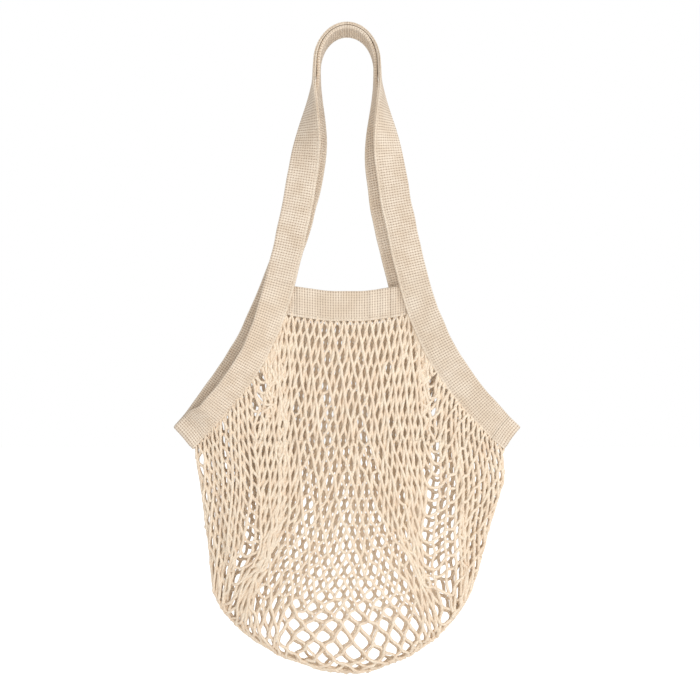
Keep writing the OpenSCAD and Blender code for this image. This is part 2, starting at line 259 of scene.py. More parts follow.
def tape_material():
    """Basket weave of soft cotton yarns, in the tape's own measure round and along, with painted shade in its
    grooves, holes and sewn line.
    """
    n = Nodes(bpy.data.materials.new("cotton_tape"))
    girth, length = n.measure()
    across, along = (n.math("DIVIDE", x, WEAVE) for x in (girth, length))
    rib_a, rib_b = n.ridges(across), n.ridges(along)
    parity = n.math("MODULO", n.plus(n.math("FLOOR", across), n.math("FLOOR", along)), 2.0)
    yarns = n.add("Mix", {"Factor": parity, "A": n.ridges(across, 2), "B": n.ridges(along, 2)},
                  data_type="FLOAT").outputs[0]
    pillow = n.math("POWER", n.times(n.plus(n.times(rib_a, 0.5), 0.5), rib_b), PILLOW)
    # Masks for painted shade in the weave's recesses: grooves between its ribs, lines along them and holes where
    # they cross
    groove = n.ramp(rib_b, *GROOVE_SHADE_RAMP)
    hole_shade = n.ramp(n.plus(rib_a, n.times(rib_b, HOLE_RIB)), *HOLE_SHADE_RAMP)
    line = n.ramp(rib_a, *LINE_SHADE_RAMP)

    from_edge = n.math("MINIMUM", girth, n.minus(TAPE_GIRTH, girth))
    woven = n.ramp(from_edge, SEWN_INSET - HEM_SOFT, SEWN_INSET + HEM_SOFT)
    # Painted shade along the sewn groove
    seam = n.ramp(n.math("ABSOLUTE", n.minus(from_edge, SEWN_INSET)), *SEAM_SHADE_RAMP)
    pressed_f, pressed_b = (n.ramp(n.minus(length, TAPE_START[face]), ON_HOOK[0], sum(ON_HOOK))
                            for face in (FRONT, BACK))
    pressed_b = n.times(pressed_b, n.math("GREATER_THAN", length, TAPE_START[BACK] - WEAVE))
    # How much of the weave's painted shade shows: less on the hem and where the tape lies pressed on the hook
    shown = n.times(n.plus(HEM_WEAVE, n.times(woven, 1 - HEM_WEAVE)),
                    n.minus(1.0, n.times(n.plus(pressed_f, pressed_b), HOOK_FADE)))

    fibre, patch, worn = n.noise(*TAPE_FIBRE), n.noise(*TAPE_PATCH), n.noise(*TAPE_WEAR)
    height = n.plus(n.times(pillow, PILLOW_HIGH), n.plus(n.times(yarns, YARN_HIGH), n.times(fibre, TAPE_FUZZ)))
    colour = n.mix(n.ramp(patch, *PATCH_RAMP), TAPE_LIGHT, TAPE_MID_AND_SHADE)
    # Painted shade on the weave's low places, in the mid tone
    colour = n.mix(n.times(n.minus(1.0, pillow), SUNK_SHADE), colour, TAPE_MID_AND_SHADE)
    # Painted shade in the weave's grooves, lines and holes
    for shade_mask, share in ((groove, GROOVE_SHADE), (line, LINE_SHADE), (hole_shade, HOLE_SHADE)):
        colour = n.mix(n.times(n.times(shade_mask, shown), share), colour, TAPE_SHADE)
    # Painted shade along the sewn line
    colour = n.mix(n.times(seam, SEAM_SHADE), colour, TAPE_SHADE)
    colour = n.mix(n.times(n.ramp(worn, *WEAR_RAMP), WORN), colour, TAPE_WORN)
    return n.cloth(colour, height, distance=0.00045, roughness=n.plus(0.86, n.times(fibre, 0.12)), sheen=0.12)


def net_material():
    """Two-ply string, its plies winding round it, with fuzz, slight change of tone from string to string, and
    painted shade between its plies.
    """
    n = Nodes(bpy.data.materials.new("cotton_net"))
    girth, length = n.measure()
    ply = n.plies(girth, length, NET_PLY)
    fibre, patch = n.noise(*NET_FIBRE), n.noise(*NET_PATCH)
    each = n.add("TexWhiteNoise", {"W": n.math("FLOOR", length)}, noise_dimensions="1D").outputs[0]
    height = n.plus(n.times(n.math("POWER", ply, 0.5), PLY_HIGH), n.times(fibre, NET_FUZZ))
    colour = n.mix(n.ramp(patch, *NET_PATCH_RAMP), NET_LIGHT, NET_MID)
    colour = n.mix(n.times(each, EACH_DARK), colour, NET_MID)
    # Painted shade in the grooves between the plies
    colour = n.mix(n.ramp(ply, *PLY_SHADE_RAMP), colour, NET_PLY_SHADE)
    return n.cloth(colour, height, distance=0.00035, roughness=n.plus(0.88, n.times(fibre, 0.10)), sheen=0.15)


def thread_material():
    """Fine twisted sewing thread, with painted shade between its plies."""
    n = Nodes(bpy.data.materials.new("cotton_thread"))
    ply = n.plies(*n.measure(), THREAD_PLY)
    height = n.plus(n.times(ply, PLY_HIGH), n.times(n.noise(*THREAD_FIBRE), THREAD_FUZZ))
    # Painted shade in the grooves between the plies, in the tape's mid tone
    colour = n.mix(n.ramp(ply, *THREAD_PLY_SHADE), THREAD, TAPE_MID_AND_SHADE)
    return n.cloth(colour, height, distance=0.00012, roughness=0.8, sheen=0.1)


MATERIALS = {"tape": tape_material(), "net": net_material(), "thread": thread_material()}

# ---- how the bag hangs ----
BACK_SHIFT = 0.0095  # the back rim hangs a little to the left of the front one
SHIFT_LEFT, SHIFT_RIGHT, SHIFT_END = (-0.185, 0.11), (-0.06, 0.16), (-0.335, 0.085)
SHIFT_SIDES, SHIFT_DEPTH = (-0.02, 0.04), (-0.003, 0.009)
BELLY_SWAY, BELLY_AT = 0.0025, (-0.455, 0.05)
BOTTOM_SWAY, BOTTOM_AT = -0.0055, (-0.580, 0.075)
BULGE, BULGE_AT, BULGE_FROM = 0.0045, (-0.452, 0.065), (0.06, 0.08)
TIP_TUCK, TIP_AT, TIP_FROM = 0.0048, (-0.405, 0.05), (0.125, 0.045)  # the corners draw in from their cut width


def back_shift(points):
    """How far each point at the back hangs to the left of its place."""
    x, y, z = points.T
    right = beyond(x, *SHIFT_SIDES)
    start = right * below(z, *SHIFT_RIGHT) + (1 - right) * below(z, *SHIFT_LEFT)
    return BACK_SHIFT * beyond(y, *SHIFT_DEPTH) * start * (1 - below(z, *SHIFT_END))


def settle(points, shifted):
    """Moves points at rest by the bag's slight turn on its hook, the sway of its bottom and its soft corners."""
    points = np.array(points, float)
    x, _, z = points.T.copy()
    if shifted:
        points[:, 0] -= back_shift(points)
    points[:, 0] += BELLY_SWAY * hill(z, *BELLY_AT) + BOTTOM_SWAY * hill(z, *BOTTOM_AT)
    points[:, 0] += BULGE * hill(z, *BULGE_AT) * beyond(x, *BULGE_FROM)
    points[:, 0] -= TIP_TUCK * np.sign(x) * beyond(np.abs(x), *TIP_FROM) * hill(z, *TIP_AT)
    return points


# ---- line of the side tape ----
# Its three stretches are the arch (0 to 1), the handle's side (1 to 2) and the side tape (2 to 3).
STRETCH_STEPS = 1000
LEG_STEPS, CORNER_STEPS, BAND_STEPS = 8, 24, 401


def arch_line(face, t):
    up, a = (NEST if face == FRONT else 0), np.asarray(t) * pi / 2
    return np.stack([(ARCH_HALF_W + up) * np.sin(a),
                     -ARCH_DROP + (ARCH_DROP + TAPE_T / 2 + up) * np.cos(a)], -1)


def handle_line(face, t):
    top, spread = arch_line(face, 1.0), TWIST_SPREAD if face == FRONT else 0
    return bezier(top, top + [spread, -HANDLE_REACH], MOUTH_PLACE - HANDLE_REACH * MOUTH_DIR, MOUTH_PLACE, t)


def side_line(t):
    return bezier(MOUTH_PLACE, MOUTH_PLACE + SIDE_REACH * MOUTH_DIR, CORNER_END - SIDE_REACH * CORNER_DIR,
                  CORNER_END, t)


def line_at(face, s):
    s = np.asarray(s, float)
    arch, handle = arch_line(face, np.clip(s, 0, 1)), handle_line(face, np.clip(s - 1, 0, 1))
    low = side_line(np.clip(s - 2, 0, 1))
    return np.where((s < 1)[..., None], arch, np.where((s < 2)[..., None], handle, low))


def depth_at(s, z):
    high = HANDLE_DEPTH * below(z, *PARTING)
    low = HANDLE_DEPTH + (CORNER_DEPTH - HANDLE_DEPTH) * beyond(s - 2, BAND_PART, 1 - BAND_PART)
    return np.where(s < 2, high, low)


def turn_at(s, z):
    """Angle of the tape, from a quarter turn on the hook to facing the front or back."""
    return np.where(s < 2, pi / 2 * (1 - below(z, -ARCH_DROP, TWIST_END - ARCH_DROP)), 0)


class Frames:
    """Places along a tape: its middle, the directions across and out of its face, and its length so far."""

    def __init__(self, middle, across, out, length=None):
        self.middle, self.across, self.out = middle, across, out
        self.length = lengths_of(middle) if length is None else length

    def __getitem__(self, part):
        return Frames(self.middle[part], self.across[part], self.out[part], self.length[part])

    def at(self, lengths):
        def pick(values):
            return np.stack([np.interp(lengths, self.length, values[:, i]) for i in range(3)], -1)
        return Frames(pick(self.middle), unit(pick(self.across)), unit(pick(self.out)), np.asarray(lengths))

    def heading(self, lengths, step=0.0004):
        return unit(self.at(lengths + step).middle - self.at(lengths - step).middle)

    def point(self, across, out, roll=0):
        """Points across and out of the tape, rolled by an angle about its open edge. One number or one a place."""
        across, out, roll = (np.broadcast_to(v, self.length.shape) for v in (across, out, roll))
        from_edge = across + TAPE_W / 2
        across = from_edge * np.cos(roll) - out * np.sin(roll) - TAPE_W / 2
        out = from_edge * np.sin(roll) + out * np.cos(roll)
        return self.middle + across[:, None] * self.across + out[:, None] * self.out


def tape_frames(face, side, s):
    p = line_at(face, s)
    d = unit(line_at(face, np.minimum(3, s + 0.01)) - line_at(face, np.maximum(0, s - 0.01)))
    o = np.stack([-d[:, 1], d[:, 0]], -1)
    turn = turn_at(s, p[:, 1])
    flat, edge = np.cos(turn), np.sin(turn)
    middle = np.stack([side * p[:, 0], face * depth_at(s, p[:, 1]), p[:, 1]], -1)
    across = np.stack([side * flat * o[:, 0], -face * edge, flat * o[:, 1]], -1)
    out = np.stack([side * edge * o[:, 0], face * flat, edge * o[:, 1]], -1)
    return Frames(middle, across, out)


def side_tape(face, side):
    """The tape from the top of the arch to the corner's fold, and its lengths to the mouth and to its end."""
    frames = tape_frames(face, side, np.linspace(0, 3, 3 * STRETCH_STEPS + 1))
    return frames, frames.length[2 * STRETCH_STEPS], frames.length[-1]


def corner_tape(side):
    """The tape round the bag's side corner, from the front's side tape to the back's."""
    run = np.linspace(0, CORNER_LEG, LEG_STEPS, endpoint=False)
    bend = np.linspace(0, pi, CORNER_STEPS)
    along = np.r_[run, CORNER_LEG + CORNER_DEPTH * np.sin(bend), run[::-1]]
    y = np.r_[-CORNER_DEPTH + 0 * run, -CORNER_DEPTH * np.cos(bend), CORNER_DEPTH + 0 * run]
    angle = np.r_[0 * run, bend, pi + 0 * run]
    p = CORNER_END + along[:, None] * CORNER_DIR
    middle = np.stack([side * p[:, 0], y, p[:, 1]], -1)
    across = np.tile([side * -CORNER_DIR[1], 0, CORNER_DIR[0]], (len(y), 1))
    out = np.stack([side * np.sin(angle) * CORNER_DIR[0], -np.cos(angle), np.sin(angle) * CORNER_DIR[1]], -1)
    return Frames(middle, across, out)


def band_tape(face):
    """The mouth band, from left to right, its fold at the top."""
    x = np.linspace(-BAND_HALF_W, BAND_HALF_W, BAND_STEPS)
    z = BAND_TOP - TAPE_W / 2 - BAND_SAG * (1 - (x / BAND_HALF_W) ** 2)
    middle = np.stack([x, np.full_like(x, face * BAND_DEPTH), z], -1)
    return Frames(middle, np.tile([0.0, 0, 1], (len(x), 1)), np.tile([0.0, face, 0], (len(x), 1)))


# ---- meshes ----
def mesh_object(name, points, faces, material, uv=None):
    """A mesh from arrays. faces is a list of arrays of corners, the first of them shaded smooth and the others,
    which are ends, flat. uv is one pair a corner."""
    mesh = bpy.data.meshes.new(name)
    mesh.vertices.add(len(points))
    mesh.vertices.foreach_set("co", points.astype(np.float32).ravel())
    corners = np.concatenate([f.ravel() for f in faces]).astype(np.int32)
    sizes = np.concatenate([np.full(len(f), f.shape[1]) for f in faces]).astype(np.int32)
    mesh.loops.add(len(corners))
    mesh.loops.foreach_set("vertex_index", corners)
    mesh.polygons.add(len(sizes))
    mesh.polygons.foreach_set("loop_start", np.r_[0, np.cumsum(sizes)[:-1]].astype(np.int32))
    mesh.update(calc_edges=True)
    mesh.polygons.foreach_set("use_smooth", np.arange(len(sizes)) < len(faces[0]))
    if uv is not None:
        pairs = np.concatenate([u.reshape(-1, 2) for u in uv]).astype(np.float32)
        mesh.uv_layers.new(name="UVMap").data.foreach_set("uv", pairs.ravel())
    mesh.validate()
    mesh.materials.append(material)
    obj = bpy.data.objects.new(name, mesh)
    SCENE.collection.objects.link(obj)
    return obj


class Tubes:
    """Tubes gathered into one mesh, each closed by a cap at both ends."""

    def __init__(self):
        self.parts, self.count = [], 0

    def add(self, points, faces, uv, cap_uv):
        self.parts.append((points, faces[0] + self.count, faces[1] + self.count, uv, cap_uv))
        self.count += len(points)

    def mesh(self, name, material, shifted=True):
        """The tubes as an object, settled as the bag hangs."""
        points, *rest = (np.concatenate(part) for part in zip(*self.parts))
        return mesh_object(name, settle(points, shifted), rest[:2], MATERIALS[material], rest[2:])


def tube_faces(rings, sides):
    """Quads round a stack of rings, a cap at each end, and the steps round and along of the quads' corners."""
    i, j = np.meshgrid(np.arange(rings - 1), np.arange(sides), indexing="ij")
    i, j = i.ravel(), j.ravel()
    k = (j + 1) % sides
    quads = np.stack([i * sides + j, i * sides + k, (i + 1) * sides + k, (i + 1) * sides + j], -1)
    caps = np.array([np.arange(sides)[::-1], (rings - 1) * sides + np.arange(sides)])
    return (quads, caps), np.stack([j, j + 1, j + 1, j], -1), np.stack([i, i, i + 1, i + 1], -1)


# ---- tape ----
TAPE_STEP = WEAVE / 3  # distance between a tape's rings, and between their points
FOLD_POINTS = 7
RELIEF, RIB_SHARP, YARN_SHARP, YARN_LEAST = 0.00020, 0.6, 0.7, 0.45  # height of the weave, and its form
WEAVE_FROM, FOLD_FROM, FOLD_WEAVE = (SEWN_INSET - 0.0002, 0.0012), (TAPE_W - 0.0008, 0.002), 0.35
PRESSED, PRESSED_FROM = 0.65, (-0.075, 0.04)  # the weave is pressed flatter on the hook
HEM_PINCH, HEM_SLOPE = 0.60, (0.001, 0.006)  # the tape's thickness at its sewn hem, as a share
HEM_RISE, SEAM_SINK, SEAM_W = 0.00026, 0.00034, 0.0006
EDGE_ROUND, LIP, LIP_IN, FOLD_OPEN = 0.0003, 0.00028, 0.0001, 0.0022  # the two edges of the fold, and their gap
ROLL = {LEFT: radians(36), RIGHT: radians(12)}  # the front's side tapes roll forward below the band
ROLL_FROM, ROLL_TO = (-0.225, 0.10), (-0.380, 0.017)
RIPPLES, RIPPLE_WAVES, RIPPLE_STARTS, RIPPLE_HEIGHTS = 4, (0.5, 1.6), (0, 6.28), (0.3, 0.7)
OUT_RIPPLE, EDGE_RIPPLE, WIDTH_RIPPLE = (0.00022, 0.07), (0.00022, 0.05), (0.007, 0.04)  # size and length
CALM_HOOK, CALM_MOUTH, CALM_CORNER = (-0.10, 0.06), (MOUTH_Z - 0.015, 0.05), (CORNER_END[1], 0.03)
BAND_RIPPLE, BAND_SEED, SIDE_SEED = (0.00015, 0.03), 70, 7
PLEAT, PLEAT_FROM, PLEAT_TO = 0.0011, (0.0432, 0.001), (0.0495, 0.0012)  # a step in the band at both ends
CREASES = ((0.0012, 0.0245, 0.004), (0.0007, 0.036, 0.005), (-0.0007, -0.030, 0.007))  # height, place, reach


def tape_section():
    """One ring of a tape: each point's place across and out, the way its relief stands, its girth, and 1 where it
    has relief."""
    half, r = TAPE_W / 2, TAPE_T / 2
    turn = half - r
    x = np.linspace(-half + EDGE_ROUND, turn, int(round(TAPE_W / TAPE_STEP)))
    thick = r * (HEM_PINCH + (1 - HEM_PINCH) * beyond(x + half, *HEM_SLOPE))
    bend = np.linspace(pi / 2, -pi / 2, FOLD_POINTS)[1:-1]
    rows = [(a, t, 0, 1, a + half, 1) for a, t in zip(x, thick)]
    rows += [(turn + r * cos(b), r * sin(b), cos(b), sin(b),
              turn + half + r * (pi / 2 - b), 1) for b in bend]
    rows += [(a, -t, 0, -1, TAPE_GIRTH - (a + half), 1) for a, t in zip(x[::-1], thick[::-1])]
    lips = [(0, r * HEM_PINCH - EDGE_ROUND, -1), (LIP_IN, LIP, 0), (FOLD_OPEN, LIP * 0.5, 0)]
    rows += [(-half + a, -b, way, 0, TAPE_GIRTH, 0) for a, b, way in lips]
    rows += [(-half + a, b, way, 0, 0, 0) for a, b, way in lips[::-1]]
    return np.array(rows, float)


def tape_relief(section, lengths, z):
    """Height of the basket weave, and of the smooth hem with its sewn groove, at each point of each ring."""
    girth, share = section[:, 4], section[:, 5]
    rib = np.abs(np.sin(pi * lengths / WEAVE))[:, None] ** RIB_SHARP
    cell = rib * (YARN_LEAST + (1 - YARN_LEAST) * np.abs(np.sin(pi * girth / WEAVE)) ** YARN_SHARP)
    from_edge = np.abs(section[:, 0] + TAPE_W / 2)
    woven = beyond(from_edge, *WEAVE_FROM) * (FOLD_WEAVE + (1 - FOLD_WEAVE) * below(from_edge, *FOLD_FROM))
    hem = HEM_RISE * (1 - woven) - SEAM_SINK * np.exp(-((from_edge - SEWN_INSET) / SEAM_W) ** 2)
    pressed = 1 - PRESSED * beyond(z, *PRESSED_FROM)[:, None]
    return share * (RELIEF * cell * pressed * (HEM_WEAVE + (1 - HEM_WEAVE) * woven) + hem)


def ripple(lengths, seed, size, wave):
    """A slow seeded wave along a tape: sines of uneven length, place and height."""
    rng = np.random.default_rng(seed)
    total = np.zeros_like(lengths)
    for _ in range(RIPPLES):
        total += (np.sin(2 * pi * lengths / (wave * rng.uniform(*RIPPLE_WAVES)) + rng.uniform(*RIPPLE_STARTS))
                  * rng.uniform(*RIPPLE_HEIGHTS))
    return size * total


def side_waves(face, side, at):
    """Waves of one side's tape at places along it: out of its face, of its edges and of its width, which fade on
    the hook, at the mouth band and at the corner; and its roll."""
    z, seed = at.middle[:, 2], SIDE_SEED * (10 + 4 * (face > 0) + 2 * (side > 0))
    calm = below(z, *CALM_HOOK) * (1 - hill(z, *CALM_MOUTH)) * beyond(z, *CALM_CORNER)
    roll = ROLL[side] * below(z, *ROLL_FROM) * (1 - below(z, *ROLL_TO)) if face == FRONT else 0 * z
    return [ripple(at.length, seed + i, *sizes) * calm
            for i, sizes in enumerate((OUT_RIPPLE, EDGE_RIPPLE, WIDTH_RIPPLE))] + [roll]


def tape_points(frames, section, waves):
    out_wave, edge_wave, width_wave, roll = waves
    height = tape_relief(section, frames.length, frames.middle[:, 2])
    across = section[:, 0] * (1 + width_wave)[:, None] + section[:, 2] * height + edge_wave[:, None]
    out = section[:, 1] + section[:, 3] * height + out_wave[:, None]
    return np.stack([frames.point(across[:, i], out[:, i], roll) for i in range(len(section))], 1).reshape(-1, 3)


def tape_piece(name, node, frames, waves, mirrored, handle=None):
    """One tape in the place of its node. Its uv is its own measure round and along, and starts at a place that
    tells the material which handle it belongs to."""
    section = tape_section()
    sides = len(section)
    faces, u_at, v_at = tube_faces(len(frames.length), sides)
    girth, along = np.r_[section[:, 4], section[0, 4]], frames.length + TAPE_START[handle]
    uv = np.stack([girth[u_at], along[v_at]], -1)
    cap_uv = np.stack([np.tile(section[:, 4], (2, 1)), np.tile(along[[0, -1]][:, None], (1, sides))], -1)
    if mirrored:
        faces, uv, cap_uv = [f[:, ::-1] for f in faces], uv[:, ::-1], cap_uv[:, ::-1]
    tape = Tubes()
    tape.add(tape_points(frames, section, waves), faces, uv, cap_uv)
    obj = tape.mesh(name, "tape")
    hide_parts(node)
    return obj


def bend_at_mouth(obj, face):
    """Bakes the placing of cloth between the rim and the handle into its mesh."""
    low, high = ((0, face * HANDLE_DEPTH, z) for z in HANDLE_BEND)
    f"{FACE_NAME[face]}_rim"
    f"{FACE_NAME[face]}_handle"
    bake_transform(obj)
    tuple(low)
    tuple(high)


def bend_at_rim(obj, face):
    """Bakes the placing of cloth between the bag and the rim into its mesh."""
    low, high = ((0, face * RIM_DEPTH, z) for z in RIM_BEND)
    f"{FACE_NAME[face]}_rim"
    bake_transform(obj)
    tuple(low)
    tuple(high)


def handle_and_binding(face, side):
    """One side of a handle and the side tape below it, cut from one run of tape."""
    frames, mouth, end = side_tape(face, side)
    rings = frames.at(np.r_[np.arange(0, end, TAPE_STEP)[:-1], end])
    waves, cut = side_waves(face, side, rings), int(np.searchsorted(rings.length, mouth))
    front, left = FACE_NAME[face], SIDE_NAME[side]
    for kind, part, node, bend in (("handle", slice(0, cut + 1), f"{front}_handle_{left}", bend_at_mouth),
                                   ("binding", slice(cut, None), f"{front}_{left}_binding", bend_at_rim)):
        bend(tape_piece(f"{front}_{left}_{kind}_tape", node, rings[part], [w[part] for w in waves],
                        face * side < 0, face), face)


def corner_fold(side):
    frames, name = corner_tape(side), SIDE_NAME[side]
    end = frames.length[-1]
    lengths = np.linspace(0, end, int(end / TAPE_STEP))
    obj = tape_piece(f"{name}_corner_tape", f"{name}_corner_fold", frames.at(lengths),
                     np.zeros((4, len(lengths))), side > 0)
    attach(obj, "bag")


def mouth_band(face):
    frames, name = band_tape(face), FACE_NAME[face]
    rings = frames.at(np.arange(0, frames.length[-1], TAPE_STEP))
    x = rings.middle[:, 0]
    fold = PLEAT * (beyond(np.abs(x), *PLEAT_FROM) - beyond(np.abs(x), *PLEAT_TO))
    fold += sum(high * hill(x, *place) for high, *place in CREASES)
    waves = fold, ripple(rings.length, BAND_SEED + face, *BAND_RIPPLE), 0 * x, 0
    obj = tape_piece(f"{name}_band_tape", f"{name}_mouth_band", rings, waves, face < 0)
    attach(obj, f"{name}_rim")


# ---- sewing ----
STITCH_PITCH, STITCH_L, STITCH_R, STITCH_SIDES = 0.0036, 0.0029, 0.00032, 6
STITCH_ALONG = np.array([-0.5, -0.36, 0, 0.36, 0.5]) * STITCH_L  # places and radii of a stitch's rings
STITCH_LIFT = np.array([-0.9, 0.35, 0.75, 0.35, -0.9]) * STITCH_R
STITCH_WIDTH = np.array([0.55, 1, 1, 1, 0.55]) * STITCH_R
SEAM_START, SEAM_DEEP = 0.002, 0.0001  # a handle's seam starts beside its join, and lies this deep
BAND_SEEN = MOUTH_HALF_W - TAPE_W / 2 + 0.002
TACKS, TACK_PITCH, TACK_W, TACK_IN, TACK_SLANT = (0.009, 0.027), 0.0011, 0.0115, 0.0012, 0.5
JOIN_ROWS, JOIN_PITCH, JOIN_IN = (0.0015, 0.006, 0.009), 0.0031, (0.0045, 0.004)


def stitches(tubes, middles, ways, outs):
    """Adds short bowed stitches, each along its way with its ends sunk in the cloth."""
    a = np.arange(STITCH_SIDES) * 2 * pi / STITCH_SIDES
    across = np.cross(ways, outs)[:, None, None, :]
    middles, ways, outs = (v[:, None, None, :] for v in (middles, ways, outs))
    along, lift, width = (v[None, :, None, None] for v in (STITCH_ALONG, STITCH_LIFT, STITCH_WIDTH))
    circle = np.cos(a)[:, None] * across + np.sin(a)[:, None] * outs
    points = middles + along * ways + lift * outs + width * circle
    (quads, caps), u_at, v_at = tube_faces(len(STITCH_ALONG), STITCH_SIDES)
    start = np.arange(len(middles))[:, None, None] * len(STITCH_ALONG) * STITCH_SIDES
    uv = np.stack([u_at / STITCH_SIDES, v_at / 4 * STITCH_L], -1)
    tubes.add(points.reshape(-1, 3), ((quads + start).reshape(-1, 4), (caps + start).reshape(-1, STITCH_SIDES)),
              np.tile(uv, (len(middles), 1, 1)), np.zeros((len(middles) * 2, STITCH_SIDES, 2)))


def sewn_rows(name, rows, replaced=None):
    """One object of stitches: rows is a list of (middles, ways, outs)."""
    tubes = Tubes()
    for row in rows:
        stitches(tubes, *row)
    obj = tubes.mesh(name, "thread")
    if replaced:
        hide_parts(replaced)
    return obj


def row_on(frames, first, last, waves_at=lambda at: (0, 0, 0, 0), both=True):
    """A row of stitches along a tape's open edge, on its outer face and on its inner one."""
    at = frames.at(np.arange(first + STITCH_PITCH / 2, last - STITCH_PITCH / 4, STITCH_PITCH))
    out_wave, edge_wave, width_wave, roll = waves_at(at)
    across = -(TAPE_W / 2 - SEWN_INSET) * (1 + width_wave) + edge_wave
    rise, ways = TAPE_T / 2 * HEM_PINCH - SEAM_DEEP, frames.heading(at.length)
    turn = np.broadcast_to(roll, at.length.shape)[:, None]
    out = np.cos(turn) * at.out - np.sin(turn) * at.across
    return [(at.point(across, out_wave + way * rise, roll), ways, way * out) for way in (1, -1)[:1 + both]]


def side_sewing(face):
    handle_rows, binding_rows, name = [], [], FACE_NAME[face]
    for side in (LEFT, RIGHT):
        frames, mouth, end = side_tape(face, side)
        handle_rows += row_on(frames, SEAM_START, mouth, partial(side_waves, face, side))
        binding_rows += row_on(frames, mouth, end, partial(side_waves, face, side))
    bend_at_mouth(sewn_rows(f"{name}_handle_seam", handle_rows, f"{name}_handle_stitching"), face)
    bend_at_rim(sewn_rows(f"{name}_binding_seam", binding_rows, f"{name}_binding_stitching"), face)


def corner_sewing():
    rows = []
    for side in (LEFT, RIGHT):
        frames = corner_tape(side)
        rows += row_on(frames, 0.0, frames.length[-1], both=False)
    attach(sewn_rows("corner_seams", rows), "bag")


def band_sewing(face):
    frames, name = band_tape(face), FACE_NAME[face]
    first = float(np.interp(-BAND_SEEN, frames.middle[:, 0], frames.length))
    rows = row_on(frames, first, frames.length[-1] - first)
    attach(sewn_rows(f"{name}_band_seam", rows, f"{name}_band_stitching"), f"{name}_rim")


def band_tacks(face):
    """Bars of close stitches that hold the band's ends to the side tapes."""
    rows, name = [], FACE_NAME[face]
    steps = np.arange(0, TACK_W, TACK_PITCH)
    zig = np.where(np.arange(len(steps)) % 2, 1, -1)[:, None]
    for side in (LEFT, RIGHT):
        frames, mouth, _ = side_tape(face, side)
        for place in TACKS:
            at = frames.at(np.full(len(steps), mouth + place))
            ways = unit(at.across * TACK_SLANT + zig * frames.heading(at.length))
            rows.append((at.point(-TAPE_W / 2 + steps + TACK_IN, TAPE_T / 2), ways, at.out))
    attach(sewn_rows(f"{name}_band_tack_bars", rows, f"{name}_band_tacks"), f"{name}_rim")


def handle_joins(face):
    """Rows sewn across the tape's two ends where they meet over the hook."""
    rows, name, under = [], FACE_NAME[face], -face
    steps = np.arange(-TAPE_W / 2 + JOIN_IN[0], TAPE_W / 2 - JOIN_IN[1], JOIN_PITCH)
    for side in (LEFT, RIGHT):
        frames = side_tape(face, side)[0]
        for place in JOIN_ROWS:
            at = frames.at(np.full(len(steps), place))
            rows.append((at.point(steps, under * TAPE_T / 2), at.across, under * at.out))
    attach(sewn_rows(f"{name}_handle_join_rows", rows, f"{name}_handle_join"), f"{name}_handle")


# ---- net ----
STRING_R, STRING_SIDES = 0.00150, 8
STRING_WAVE, STRING_WAVES, STRING_UNEVEN, BACK_THICKER = 0.07, 1.7, 0.035, 0.06  # changes of a string's radius
KNOT_HALF = 0.0020  # half length of the place where two strings run together
NET_COLUMNS, NET_HALF_ROWS = 37, 68
FOLD_ROW = NET_HALF_ROWS // 2
NET_SEED, STRING_SEED = 4, 21
BAR, BAR_UNEVEN, EVEN_ROWS = 0.0131, 0.045, 10  # string between two crossings, uneven but next to the fold
LOOP_POINTS, LOOP_PAST, LOOP_FIRST = (20, 400, 8), 0.002, 0.1  # the mouth's loop: band, tape and corner
NET_TUCK = 0.004  # the net's edge lies this deep inside the tape
GRIPPED_HALF_W = 0.0545  # half width of the row inside the band
GRIP = np.array([0.50, 0.50, 0.62, 0.85])  # a string's thickness at its ends, inside the tape, as shares
SQUARE = 1.15  # strings run side by side across a mesh that is this much longer that way
DEEPEN, SIDE_THIN, SIDE_THIN_AT, HINGE_STEP = 0.8, 0.55, (0.90, 0.045), (-0.03, 0.06)
START_WIDE, START_LOW = (0, 0.5, 1), (BOTTOM_Z + 0.01, BELLY_Z - 0.03, CORNER_Z - 0.02)  # the fold at first

# How the net hangs, a step at a time
HANG_STEPS, QUICK_STEPS, ROUNDS = 1300, 300, 2
GRAVITY, DAMPING, GUIDE = 1e-4, 0.98, 0.3
GATHER, GATHER_AT, BOTTOM_PUSH, PUSH_X = 0.2, (0.105, 0.030), 9.0, 0.1  # sideways pushes, full at PUSH_X
PANEL_PUSH, PANEL_IN, PANEL_OUT, PANEL_LOW = 0.14, (0, 0.020), (0.060, 0.020), (-0.32, 0.08)
OPEN, OPEN_SIDES = (-0.52, 0.68 - 0.52), (0.62, 0.3)  # the meshes stand open low down in the middle
KNOT_GAP, GAP_UNEVEN, GAP_PUSH, GAP_EASE = 0.005, 0.18, 0.9, 0.75  # least distance between two knots
MESH_LONG, MESH_OPEN, LONG_PULL = 0.030, 0.0195, 0.2  # most length of a mesh, hanging and open
LEAST, HUNG, UNHUNG, OUTLINE_PULL, FOLD_PULL, FOLD_SIDES = 0.0005, 0.012, 0.2, 0.5, 0.2, (0.02, 0.03)
LEAST_HALF_W, FOLD_LOW = 0.02, 0.02  # least half width that openness is a share of, and the laid fold's start
ROW_WAVE, ROW_RIPPLE, ROW_WAVE_FROM = (0.0024, 0.0085, 1.3), (0.0017, 0.0049, 0.03), (NET_TOP - 0.01, 0.04)
DRAWN_H, CLOSE_BOTTOM, CLOSE_TO = 0.09, 0.5, (0.002, 0.050)
BACK_INSIDE, BACK_LOW, BACK_LOW_LESS = (0.100, 0.032), (-0.53, 0.08), 0.55


def rounded(t, power=1):
    """The curve of the bag's bottom, from 1 at 0 to 0 at 1."""
    return np.maximum(1 - np.clip(t, 0, 1) ** BOTTOM_ROUND, 0) ** (power / BOTTOM_ROUND)


def net_half_w(z):
    """Half width of the bag's outline below its corners."""
    return (BELLY_HALF_W + SIDE_TAPER * (z - BELLY_Z)) * rounded((BELLY_Z - z) / BOTTOM_H)


def net_bottom(x):
    """Height of the bag's outline below a place across it."""
    return BELLY_Z - BOTTOM_H * rounded(np.abs(x) / BELLY_HALF_W)


